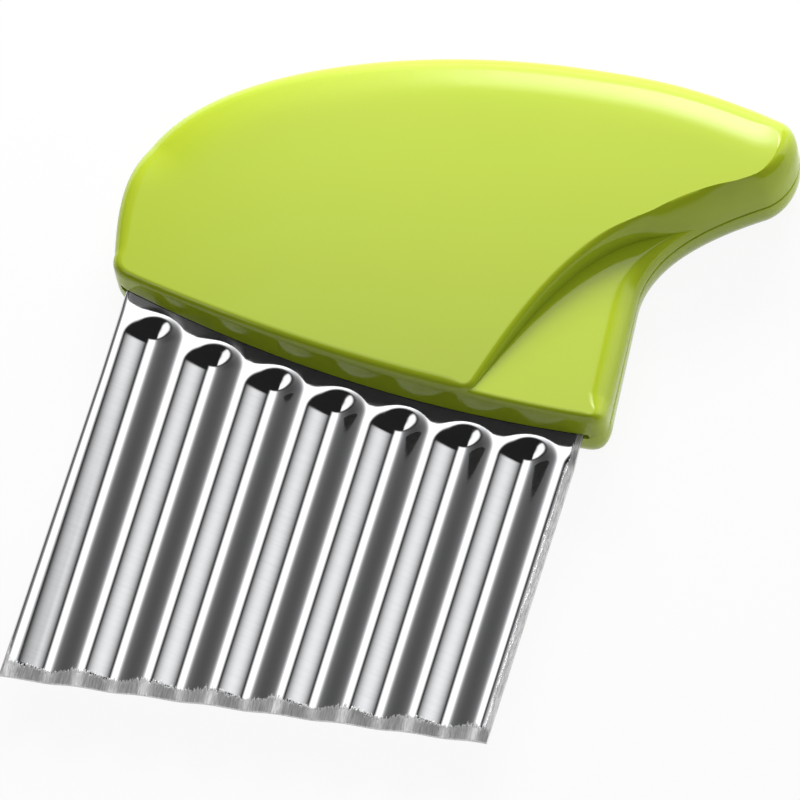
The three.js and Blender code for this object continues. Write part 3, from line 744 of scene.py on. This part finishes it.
def corrugated_sheet(sizes):
    tree, size = tree_with_inputs("corrugated_blade", sizes)
    rows = EDGE_ROWS + PLAIN_ROWS + END_ROWS + TANG_ROWS
    grid = add_node(tree, "GeometryNodeMeshGrid", Vertices_X=BLADE_COLUMNS, Vertices_Y=rows + 1)
    position = tree.nodes.new("GeometryNodeInputPosition").outputs[0]
    place = add_node(tree, "ShaderNodeSeparateXYZ", Vector=position)
    across = place.outputs["X"]
    upward = calc(tree, "ADD", place.outputs["Y"], 0.5)
    x = calc(tree, "MULTIPLY", across, size["Width"])
    top = ledge_nodes(tree, size, x)
    edge_end = EDGE_ROWS / rows
    plain_end = edge_end + PLAIN_ROWS / rows
    sheet_end = plain_end + END_ROWS / rows
    step_end = sheet_end + 1 / rows
    plain = calc(tree, "SUBTRACT", top, EDGE_BAND + END_BAND)
    climbs = [
        climb(tree, upward, 0.0, edge_end, EDGE_BAND),
        climb(tree, upward, edge_end, plain_end, plain),
        climb(tree, upward, plain_end, sheet_end, calc(tree, "ADD", END_BAND, size["Shoulder"])),
        climb(tree, upward, sheet_end, step_end, TANG_STEP),
        climb(tree, upward, step_end, 1.0, calc(tree, "SUBTRACT", size["Tang"], size["Shoulder"])),
    ]
    y = climbs[0]
    for gain in climbs[1:]:
        y = calc(tree, "ADD", y, gain)
    turns = calc(tree, "DIVIDE", calc(tree, "ADD", x, size["Shift"]), size["Pitch"])
    pitches = calc(tree, "MULTIPLY", calc(tree, "ROUND", turns), size["Pitch"])
    groove = calc(tree, "SUBTRACT", pitches, size["Shift"])
    ramp = calc(tree, "ADD", size["End length"], size["Lead"])
    below = calc(tree, "ADD", size["End gap"], ramp)
    end = calc(tree, "SUBTRACT", ledge_nodes(tree, size, groove), below)
    aside = calc(tree, "DIVIDE", calc(tree, "SUBTRACT", x, groove), calc(tree, "DIVIDE", size["Pitch"], 2.0))
    past = calc(tree, "MAXIMUM", calc(tree, "SUBTRACT", y, end), 0.0)
    steep = calc(tree, "MULTIPLY", pressed(tree, aside, past, size["End length"]), 1 - LEAD_SHARE)
    drop = calc(tree, "MULTIPLY_ADD", pressed(tree, aside, past, ramp), LEAD_SHARE, steep)
    draw = calc(tree, "MULTIPLY", calc(tree, "MULTIPLY_ADD", drop, size["Edge draw"], EDGE_RAISE),
                between(tree, upward, 0.0, edge_end, 1.0, 0.0))
    y = calc(tree, "ADD", y, draw)
    flare = calc(tree, "MAXIMUM", calc(tree, "SUBTRACT", 1.0, calc(tree, "DIVIDE", y, FLARE_HEIGHT)), 0.0)
    left_share = between(tree, across, -0.5, -0.45, -LEFT_FLARE, 0.0)
    right_share = between(tree, across, 0.47, 0.5, 0.0, -RIGHT_TAPER)
    x = calc(tree, "ADD", x, calc(tree, "MULTIPLY", flare, calc(tree, "ADD", left_share, right_share)))
    depth_share = between(tree, y, 0.0, EXPOSED_RIGHT, -1.0, -TOP_DEPTH_SHARE)
    depth = calc(tree, "MULTIPLY", size["Depth"], depth_share)
    back = calc(tree, "SUBTRACT", calc(tree, "MULTIPLY", drop, depth),
                calc(tree, "DIVIDE", size["Sheet"], 2.0))
    from_edge = calc(tree, "DIVIDE", calc(tree, "MULTIPLY", upward, EDGE_BAND / edge_end), size["Bevel"])
    from_right = calc(tree, "MULTIPLY", calc(tree, "SUBTRACT", 0.5, across), size["Width"])
    from_side = calc(tree, "DIVIDE", from_right, size["Side grind"])
    from_left = calc(tree, "MULTIPLY", calc(tree, "ADD", 0.5, across), size["Width"])
    up_left = calc(tree, "DIVIDE", y, CORNER_GRIND_HEIGHT)
    from_corner = calc(tree, "MULTIPLY_ADD", from_left, 1 / CORNER_GRIND, up_left)
    ground = calc(tree, "MINIMUM", calc(tree, "MINIMUM", from_edge, from_side), from_corner)
    rounded_share = calc(tree, "DIVIDE", from_left, LEFT_ROUND)
    inner = calc(tree, "MAXIMUM", calc(tree, "SUBTRACT", 1.0, rounded_share), 0.0)
    left_round = calc(tree, "SQRT", calc(tree, "SUBTRACT", 1.0, calc(tree, "MULTIPLY", inner, inner)))
    full = calc(tree, "MINIMUM", calc(tree, "MINIMUM", from_edge, left_round), 1.0)
    full = calc(tree, "MINIMUM", full, calc(tree, "MULTIPLY_ADD", from_side, 0.3, 0.7))
    thickness = add_node(tree, "ShaderNodeMapRange", To_Min=0.0, To_Max=1.0, Value=full)
    tree.links.new(size["Edge thickness"], thickness.inputs["To Min"])
    tree.links.new(size["Sheet"], thickness.inputs["To Max"])
    narrow = between(tree, upward, sheet_end, step_end, 0.0, 1.0)
    both_insets = calc(tree, "MULTIPLY", size["Tang inset"], 2.0)
    inset_share = calc(tree, "DIVIDE", both_insets, size["Width"])
    squeeze = calc(tree, "SUBTRACT", 1.0, calc(tree, "MULTIPLY", narrow, inset_share))
    tang_x = calc(tree, "MULTIPLY", x, squeeze)
    kept = grid.outputs["Mesh"]
    for name, value in (("ground", ground), ("thickness", thickness.outputs["Result"])):
        kept = add_node(tree, "GeometryNodeStoreNamedAttribute", {"data_type": "FLOAT", "domain": "POINT"},
                        Geometry=kept, Name=name, Value=value).outputs[0]
    corner = add_node(tree, "ShaderNodeCombineXYZ", X=tang_x, Y=y, Z=back)
    placed = add_node(tree, "GeometryNodeSetPosition", Geometry=kept, Position=corner.outputs[0])
    back_skin = placed.outputs[0]
    lifted = add_node(tree, "GeometryNodeExtrudeMesh", {"mode": "FACES"},
                      Mesh=back_skin, Offset_Scale=0.0, Individual=False)
    kept_thickness = add_node(tree, "GeometryNodeInputNamedAttribute", {"data_type": "FLOAT"},
                              Name="thickness")
    rise = add_node(tree, "ShaderNodeCombineXYZ", Z=kept_thickness.outputs["Attribute"])
    front_skin = add_node(tree, "GeometryNodeSetPosition", Geometry=lifted.outputs["Mesh"],
                          Selection=lifted.outputs["Top"], Offset=rise.outputs[0])
    behind = add_node(tree, "GeometryNodeStoreNamedAttribute", {"data_type": "FLOAT", "domain": "POINT"},
                      Geometry=back_skin, Name="ground", Value=BACK_GROUND)
    flipped = add_node(tree, "GeometryNodeFlipFaces", Mesh=behind.outputs[0])
    both = tree.nodes.new("GeometryNodeJoinGeometry")
    tree.links.new(flipped.outputs[0], both.inputs[0])
    tree.links.new(front_skin.outputs[0], both.inputs[0])
    closed = add_node(tree, "GeometryNodeMergeByDistance", Geometry=both.outputs[0], Distance=SKIN_MERGE)
    smooth = add_node(tree, "GeometryNodeSetShadeSmooth", Geometry=to_frame(tree, closed.outputs[0]))
    real = add_node(tree, "GeometryNodeRealizeInstances", Geometry=smooth.outputs[0])
    dressed = add_node(tree, "GeometryNodeSetMaterial", Geometry=real.outputs[0], Material=size["Material"])
    result = tree.nodes.new("NodeGroupOutput")
    tree.links.new(dressed.outputs[0], result.inputs[0])
    return tree


def stretched(tree, coordinates, scale):
    mapping = tree.nodes.new("ShaderNodeMapping")
    mapping.inputs["Scale"].default_value = scale
    tree.links.new(coordinates, mapping.inputs["Vector"])
    return mapping.outputs[0]


def bright_steel():
    material = bpy.data.materials.new("bright_stamped_steel")
    material.use_nodes = True
    tree = material.node_tree
    shader = tree.nodes["Principled BSDF"]
    place = tree.nodes.new("ShaderNodeTexCoord").outputs["Object"]
    ground = tree.nodes.new("ShaderNodeAttribute")
    ground.attribute_name = "ground"
    scratch = noise_texture(tree, stretched(tree, place, (5200, 420, 900)), 1.0, 3, 0.7)
    ragged = calc(tree, "MULTIPLY_ADD", calc(tree, "SUBTRACT", scratch, 0.5), 1.5, ground.outputs["Fac"])
    mask = between(tree, ragged, 0.92, 1.02, 1.0, 0.0)
    brush = noise_texture(tree, stretched(tree, place, (60, 3600, 60)), 1.0, 3, 0.6)
    scored = colour_mix(tree, between(tree, scratch, 0.32, 0.68, 0.0, 1.0), STEEL_SCORED, STEEL_GROUND)
    tree.links.new(colour_mix(tree, mask, STEEL, scored), shader.inputs["Base Color"])
    polish = between(tree, brush, 0.3, 0.7, 0.05, 0.11)
    roughness = tree.nodes.new("ShaderNodeMix")
    roughness.inputs["B"].default_value = 0.36
    tree.links.new(mask, roughness.inputs["Factor"])
    tree.links.new(polish, roughness.inputs["A"])
    tree.links.new(roughness.outputs[0], shader.inputs["Roughness"])
    tree.links.new(between(tree, mask, 0.0, 1.0, 1.0, 0.55), shader.inputs["Metallic"])
    fine = bump(tree, brush, 0.0000012, 0.6)
    grind = calc(tree, "MULTIPLY", scratch, mask)
    tree.links.new(bump(tree, grind, 0.00012, 0.5, fine), shader.inputs["Normal"])
    return material


blade_sizes = {
    "Width": BLADE_WIDTH,
    "Exposed left": EXPOSED_LEFT,
    "Exposed right": EXPOSED_RIGHT,
    "Ledge bow": LEDGE_BOW,
    "Sheet": SHEET,
    "Pitch": GROOVE_PITCH,
    "Shift": GROOVE_SHIFT,
    "Depth": GROOVE_DEPTH,
    "End gap": GROOVE_END_GAP,
    "End length": GROOVE_END_LENGTH,
    "Lead": GROOVE_LEAD,
    "Edge draw": EDGE_DRAW,
    "Edge thickness": EDGE_THICKNESS,
    "Bevel": BEVEL_WIDTH,
    "Side grind": SIDE_GRIND,
    "Shoulder": SHOULDER_DEPTH,
    "Tang": TANG_LENGTH,
    "Tang inset": TANG_INSET,
}
blade_tree = corrugated_sheet(blade_sizes)
blade = grown("blade_steel_sheet", blade_tree, {**blade_sizes, "Material": bright_steel()})
tang_holes = [round_bar("tang_hole", place, HOLE_RADIUS, -CUT_PAST, CUT_PAST) for place in screw_places[:2]]
combine(blade, "DIFFERENCE", *tang_holes)
blade.data.set_sharp_from_angle(angle=math.radians(BLADE_SHARP_ANGLE))
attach(blade, "root")
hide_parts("blade")


# Screws
# Three zinc-plated self-tapping screws with domed cross-recessed heads, driven from the back
# through the rear shell and the tang into the front shell's bosses.
HEAD_RADIUS = 2.7
HEAD_HEIGHT = 1.5
HEAD_DOME = 0.5
SHANK_RADIUS = 1.4
SHANK_LENGTH = 6.0
SHANK_POINT = 1.6
SHANK_LAP = 0.2
POINT_RADIUS = 0.05
RECESS_WIDTH = 0.75
RECESS_LENGTH = 3.0
RECESS_DEPTH = 0.9
ZINC = (0.42, 0.43, 0.45, 1)
ZINC_WARM = (0.52, 0.52, 0.5, 1)
SCREW_SHARP_ANGLE = 35


def shifted(tree, geometry, z):
    node = add_node(tree, "GeometryNodeTransform", Geometry=geometry)
    node.inputs["Translation"].default_value = (0, 0, z)
    return node.outputs[0]


def tapping_screws(sizes):
    tree, size = tree_with_inputs("tapping_screws", sizes)
    seat = -SEAT_DEPTH - FIT_GAP
    head = add_node(tree, "GeometryNodeMeshCylinder", Vertices=48, Side_Segments=3, Fill_Segments=8,
                    Radius=size["Head radius"], Depth=size["Head height"])
    head_mesh = shifted(tree, head.outputs["Mesh"], seat - HEAD_HEIGHT / 2)
    position = tree.nodes.new("GeometryNodeInputPosition").outputs[0]
    place = add_node(tree, "ShaderNodeSeparateXYZ", Vector=position)
    x_squared = calc(tree, "POWER", place.outputs["X"], 2.0)
    y_squared = calc(tree, "POWER", place.outputs["Y"], 2.0)
    from_axis = calc(tree, "SQRT", calc(tree, "ADD", x_squared, y_squared))
    share = calc(tree, "POWER", calc(tree, "DIVIDE", from_axis, size["Head radius"]), 2.0)
    outer = between(tree, place.outputs["Z"], seat - HEAD_HEIGHT, seat, 1.0, 0.0)
    sag = calc(tree, "MULTIPLY", calc(tree, "MULTIPLY", share, outer), size["Head dome"])
    sink = add_node(tree, "ShaderNodeCombineXYZ", Z=sag)
    dome = add_node(tree, "GeometryNodeSetPosition", Geometry=head_mesh, Offset=sink.outputs[0])
    shank = add_node(tree, "GeometryNodeMeshCylinder", Vertices=32, Radius=size["Shank radius"],
                     Depth=SHANK_LENGTH - SHANK_POINT + SHANK_LAP)
    shank_mesh = shifted(tree, shank.outputs["Mesh"], seat + (SHANK_LENGTH - SHANK_POINT) / 2 - SHANK_LAP / 2)
    point = add_node(tree, "GeometryNodeMeshCone", Vertices=32, Radius_Bottom=size["Shank radius"],
                     Radius_Top=POINT_RADIUS, Depth=SHANK_POINT)
    point_mesh = shifted(tree, point.outputs["Mesh"], seat + SHANK_LENGTH - SHANK_POINT)
    body = tree.nodes.new("GeometryNodeMeshBoolean")
    body.operation = "UNION"
    body.solver = "EXACT"
    for part in (dome.outputs[0], shank_mesh, point_mesh):
        tree.links.new(part, body.inputs["Mesh 2"])
    cross = tree.nodes.new("GeometryNodeMeshBoolean")
    cross.operation = "DIFFERENCE"
    cross.solver = "EXACT"
    tree.links.new(body.outputs[0], cross.inputs["Mesh 1"])
    for wide, deep in ((RECESS_LENGTH, RECESS_WIDTH), (RECESS_WIDTH, RECESS_LENGTH)):
        bar = tree.nodes.new("GeometryNodeMeshCube")
        bar.inputs["Size"].default_value = (wide, deep, 2 * RECESS_DEPTH)
        tree.links.new(shifted(tree, bar.outputs["Mesh"], seat - HEAD_HEIGHT), cross.inputs["Mesh 2"])
    places = tree.nodes.new("GeometryNodeJoinGeometry")
    for screw_place in screw_places:
        spot = tree.nodes.new("GeometryNodePoints")
        spot.inputs["Position"].default_value = (*screw_place, 0)
        tree.links.new(spot.outputs[0], places.inputs[0])
    copies = add_node(tree, "GeometryNodeInstanceOnPoints",
                      Points=places.outputs[0], Instance=cross.outputs[0])
    real = add_node(tree, "GeometryNodeRealizeInstances", Geometry=to_frame(tree, copies.outputs[0]))
    smooth = add_node(tree, "GeometryNodeSetShadeSmooth", Geometry=real.outputs[0])
    dressed = add_node(tree, "GeometryNodeSetMaterial", Geometry=smooth.outputs[0], Material=size["Material"])
    result = tree.nodes.new("NodeGroupOutput")
    tree.links.new(dressed.outputs[0], result.inputs[0])
    return tree


def zinc_plate():
    material = bpy.data.materials.new("zinc_plated_steel")
    material.use_nodes = True
    tree = material.node_tree
    shader = tree.nodes["Principled BSDF"]
    place = tree.nodes.new("ShaderNodeTexCoord").outputs["Object"]
    cloud = noise_texture(tree, place, 900, 4)
    tree.links.new(colour_mix(tree, cloud, ZINC, ZINC_WARM), shader.inputs["Base Color"])
    tree.links.new(between(tree, cloud, 0.3, 0.7, 0.25, 0.4), shader.inputs["Roughness"])
    tree.links.new(bump(tree, noise_texture(tree, place, 5000, 2), 0.00002, 0.3), shader.inputs["Normal"])
    shader.inputs["Metallic"].default_value = 1.0
    return material


screw_sizes = {
    "Head radius": HEAD_RADIUS,
    "Head height": HEAD_HEIGHT,
    "Head dome": HEAD_DOME,
    "Shank radius": SHANK_RADIUS,
}
screws = grown("tapping_screws", tapping_screws(screw_sizes), {**screw_sizes, "Material": zinc_plate()})
screws.data.set_sharp_from_angle(angle=math.radians(SCREW_SHARP_ANGLE))
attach(screws, "root")
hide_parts("screw_left", "screw_right", "screw_crown")


# Floor
# A wide white table that the cutter lies on, seamless to the horizon.
FLOOR_HALF = 12.0
FLOOR_WHITE = (0.9, 0.9, 0.9, 1)
FLOOR_SHADOW = 0.08
FLOOR_ROUGHNESS = 0.9
FLOOR_DROP = 0.0001

floor_mesh = bpy.data.meshes.new("floor")
floor_corners = [
    (-FLOOR_HALF, -FLOOR_HALF, -FLOOR_DROP),
    (FLOOR_HALF, -FLOOR_HALF, -FLOOR_DROP),
    (FLOOR_HALF, FLOOR_HALF, -FLOOR_DROP),
    (-FLOOR_HALF, FLOOR_HALF, -FLOOR_DROP),
]
floor_mesh.from_pydata(floor_corners, [], [[0, 1, 2, 3]])
floor = bpy.data.objects.new("floor", floor_mesh)
bpy.context.scene.collection.objects.link(floor)
floor_paper = bpy.data.materials.new("white_paper")
floor_paper.use_nodes = True
tree = floor_paper.node_tree
tree.nodes["Principled BSDF"].inputs["Base Color"].default_value = FLOOR_WHITE
tree.nodes["Principled BSDF"].inputs["Roughness"].default_value = FLOOR_ROUGHNESS
tree.nodes["Principled BSDF"].inputs["Specular IOR Level"].default_value = 0.0
glow = tree.nodes.new("ShaderNodeEmission")
glow.inputs["Color"].default_value = (1, 1, 1, 1)
glow.inputs["Strength"].default_value = 1.0
seen = tree.nodes.new("ShaderNodeLightPath")
either = calc(tree, "MAXIMUM", seen.outputs["Is Camera Ray"], seen.outputs["Is Glossy Ray"])
share = calc(tree, "MULTIPLY", either, 1 - FLOOR_SHADOW)
blend = tree.nodes.new("ShaderNodeMixShader")
tree.links.new(share, blend.inputs[0])
tree.links.new(tree.nodes["Principled BSDF"].outputs[0], blend.inputs[1])
tree.links.new(glow.outputs[0], blend.inputs[2])
tree.links.new(blend.outputs[0], tree.nodes["Material Output"].inputs["Surface"])
floor_mesh.materials.append(floor_paper)


# Studio
# A white room for the camera. For gloss it holds a softbox and a strip lamp behind the cutter, a
# panel on the left, a pale table in front, and dark gaps between. For matt surfaces it is one
# soft light, strongest from behind.
world = bpy.data.worlds.new("studio")
bpy.context.scene.world = world
world.use_nodes = True
tree = world.node_tree
room_place = tree.nodes.new("ShaderNodeTexCoord").outputs["Generated"]
direction = add_node(tree, "ShaderNodeSeparateXYZ", Vector=room_place)
dx, dy, dz = (direction.outputs[axis] for axis in "XYZ")


def window(x_from, x_to, y_from, y_to, strength):
    """Patch of light between soft edges; each edge is a pair of limits for its fade."""
    result = strength
    for value, pair, rising in ((dx, x_from, True), (dx, x_to, False), (dy, y_from, True), (dy, y_to, False)):
        if pair:
            ends = (0.0, 1.0) if rising else (1.0, 0.0)
            result = calc(tree, "MULTIPLY", between(tree, value, *pair, *ends, "SMOOTHSTEP"), result)
    return result


BACK_WALL = (
    (-0.85, 0.08),
    (-0.65, 0.22),
    (-0.55, 0.42),
    (-0.47, 0.85),
    (-0.4, 1.4),
    (-0.34, 1.9),
    (0.03, 1.9),
    (0.19, 0.03),
    (0.24, 0.06),
    (0.44, 0.95),
    (0.56, 1.5),
)
BRIGHTEST = 2.0
DARK_ROOM = 0.02
ramp = tree.nodes.new("ShaderNodeValToRGB")
while len(ramp.color_ramp.elements) < len(BACK_WALL):
    ramp.color_ramp.elements.new(0.5)
for stop, (side, level) in zip(ramp.color_ramp.elements, BACK_WALL):
    stop.position = (side + 1) / 2
    stop.color = (level / BRIGHTEST,) * 3 + (1,)
tree.links.new(between(tree, dx, -1.0, 1.0, 0.0, 1.0), ramp.inputs["Fac"])
behind = between(tree, dy, 0.02, 0.2, 0.0, BRIGHTEST, "SMOOTHSTEP")
lower_right = between(tree, dx, 0.12, 0.25, 0.0, 1.0)
behind_right = between(tree, dy, 0.46, 0.56, 0.0, BRIGHTEST, "SMOOTHSTEP")
left_reach = calc(tree, "MULTIPLY", calc(tree, "SUBTRACT", 1.0, lower_right), behind)
right_reach = calc(tree, "MULTIPLY", lower_right, behind_right)
reach_down = calc(tree, "ADD", left_reach, right_reach)
back_wall = calc(tree, "MULTIPLY", ramp.outputs["Color"], reach_down)
strip_lamp = window((-0.36, -0.16), (0.0, 0.2), (0.68, 0.79), (0.81, 0.92), 8.0)
left_panel = window((-0.88, -0.76), (-0.56, -0.48), (-0.34, -0.22), (-0.04, 0.06), 1.6)
front_table = window(None, None, None, (-0.74, -0.6), 1.0)
gloss = DARK_ROOM
for light in (back_wall, strip_lamp, left_panel, front_table):
    gloss = calc(tree, "ADD", gloss, light)
MATT_LEVEL = 0.25
MATT_LEAN = (0.18, 0.29, 0.15)
matt = MATT_LEVEL
for value, lean in zip((dx, dy, dz), MATT_LEAN):
    matt = calc(tree, "MULTIPLY_ADD", value, lean, matt)
matt = calc(tree, "MAXIMUM", matt, 0.0)
path = tree.nodes.new("ShaderNodeLightPath")


def choose(factor, off, on):
    return calc(tree, "ADD", calc(tree, "MULTIPLY", factor, calc(tree, "SUBTRACT", on, off)), off)


strength = choose(path.outputs["Is Glossy Ray"], matt, gloss)
strength = choose(path.outputs["Is Camera Ray"], strength, 1.0)
sky = tree.nodes["Background"]
sky.inputs["Color"].default_value = (1, 1, 1, 1)
tree.links.new(strength, sky.inputs["Strength"])


# Key lamp
# One soft rectangular lamp low behind the handle; gloss sees the studio's lights instead of it.
LAMP_PLACE = Vector((-0.05, 0.34, 0.175))
LAMP_SIZE = (0.3, 0.16)
LAMP_POWER = 1.95

lamp_data = bpy.data.lights.new("key_lamp", "AREA")
lamp_data.shape = "RECTANGLE"
lamp_data.size, lamp_data.size_y = LAMP_SIZE
lamp_data.energy = LAMP_POWER
lamp = bpy.data.objects.new("key_lamp", lamp_data)
lamp.location = LAMP_PLACE
lamp.rotation_euler = LAMP_PLACE.to_track_quat("Z", "Y").to_euler()
lamp.visible_glossy = False
lamp.visible_camera = False
bpy.context.scene.collection.objects.link(lamp)


# Camera Long lens, turned to the right of the cutter and rolled a little, as the cutter is
# pictured.
FRAME_WIDTH = 0.11633
CAMERA_DISTANCE = 8.0
CLIP_END = 40.0
SENSOR = 36.0
LOOK_AT = np.array([8.295, 57.72, 0.0])
camera_right = Vector((0.9597, 0.2507, -0.1251)).normalized()
camera_back = Vector((0.2476, -0.5495, 0.7978)).normalized()
camera_up = camera_back.cross(camera_right).normalized()
camera_right = camera_up.cross(camera_back)
look_at = Vector(drawing_origin + LOOK_AT) * MM
camera_data = bpy.data.cameras.new("camera")
camera_data.sensor_width = SENSOR
camera_data.lens = SENSOR * CAMERA_DISTANCE / FRAME_WIDTH
camera_data.clip_end = CLIP_END
camera = bpy.data.objects.new("camera", camera_data)
axes = Matrix((camera_right, camera_up, camera_back)).transposed()
camera.matrix_world = Matrix.Translation(look_at + camera_back * CAMERA_DISTANCE) @ axes.to_4x4()
bpy.context.scene.collection.objects.link(camera)
bpy.context.scene.camera = camera
bpy.context.scene.view_settings.view_transform = "Standard"
